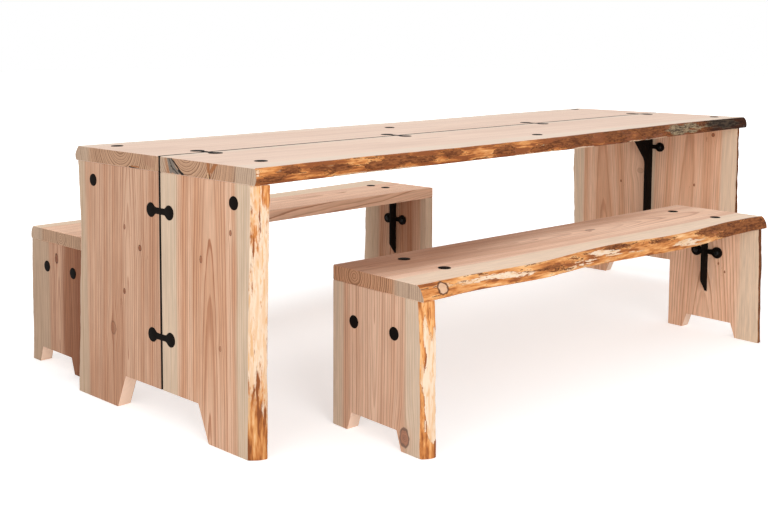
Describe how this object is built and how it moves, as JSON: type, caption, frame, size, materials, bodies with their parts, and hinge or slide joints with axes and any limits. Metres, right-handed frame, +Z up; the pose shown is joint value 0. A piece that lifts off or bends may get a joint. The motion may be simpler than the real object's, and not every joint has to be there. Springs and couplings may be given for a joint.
{
  "type": "picnic table with two benches",
  "caption": "Outdoor dining set: a live-edge plank table on two panel legs with iron seam plates and rib brackets, and two loose plank benches in the same make.",
  "frame": {"origin": "on the floor at the middle of the set's footprint", "axes": "+X along the table's length towards its right end, +Y towards the rear bench, +Z up"},
  "size_m": [2.68, 1.7138, 0.75],
  "materials": {
    "table_wood": "clear oiled, pale cream to orange-brown grain, bark-brown live edges",
    "bench_wood": "clear oiled, pale cream to orange-brown grain, bark-brown live edges",
    "black_iron": "black satin coat",
    "black_bolts": "black satin"
  },
  "bodies": {
    "table": {"front_top_plank": "table_wood", "back_top_plank": "table_wood", "left_front_leg_plank": "table_wood", "left_back_leg_plank": "table_wood", "right_front_leg_plank": "table_wood", "right_back_leg_plank": "table_wood", "left_table_bracket": "black_iron", "right_table_bracket": "black_iron", "left_under_seam_plate": "black_iron", "right_under_seam_plate": "black_iron", "left_leg_upper_seam_plate": "black_iron", "left_leg_lower_seam_plate": "black_iron", "right_leg_upper_seam_plate": "black_iron", "right_leg_lower_seam_plate": "black_iron", "left_end_top_seam_plate": "black_iron", "left_middle_top_seam_plate": "black_iron", "right_end_top_seam_plate": "black_iron", "right_middle_top_seam_plate": "black_iron", "table_leg_caps": "black_iron", "table_top_caps": "black_iron", "left_table_bracket_bolts": "black_bolts", "right_table_bracket_bolts": "black_bolts", "middle_seam_bolts": "black_bolts"},
    "front_bench": {"front_bench_seat": "bench_wood", "front_bench_left_leg": "bench_wood", "front_bench_right_leg": "bench_wood", "front_bench_left_bracket": "black_iron", "front_bench_right_bracket": "black_iron", "front_bench_leg_caps": "black_iron", "front_bench_seat_caps": "black_iron", "front_bench_bolts": "black_bolts"},
    "rear_bench": {"rear_bench_seat": "bench_wood", "rear_bench_left_leg": "bench_wood", "rear_bench_right_leg": "bench_wood", "rear_bench_left_bracket": "black_iron", "rear_bench_right_bracket": "black_iron", "rear_bench_leg_caps": "black_iron", "rear_bench_seat_caps": "black_iron", "rear_bench_bolts": "black_bolts"}
  },
  "joints": [
    {"name": "front_bench_slide", "type": "slide", "parent": "table", "child": "front_bench", "axis": [0, 1, 0], "range_m": [-0.3, 0.28]},
    {"name": "rear_bench_slide", "type": "slide", "parent": "table", "child": "rear_bench", "axis": [0, 1, 0], "range_m": [-0.4, 0.3]}
  ]
}
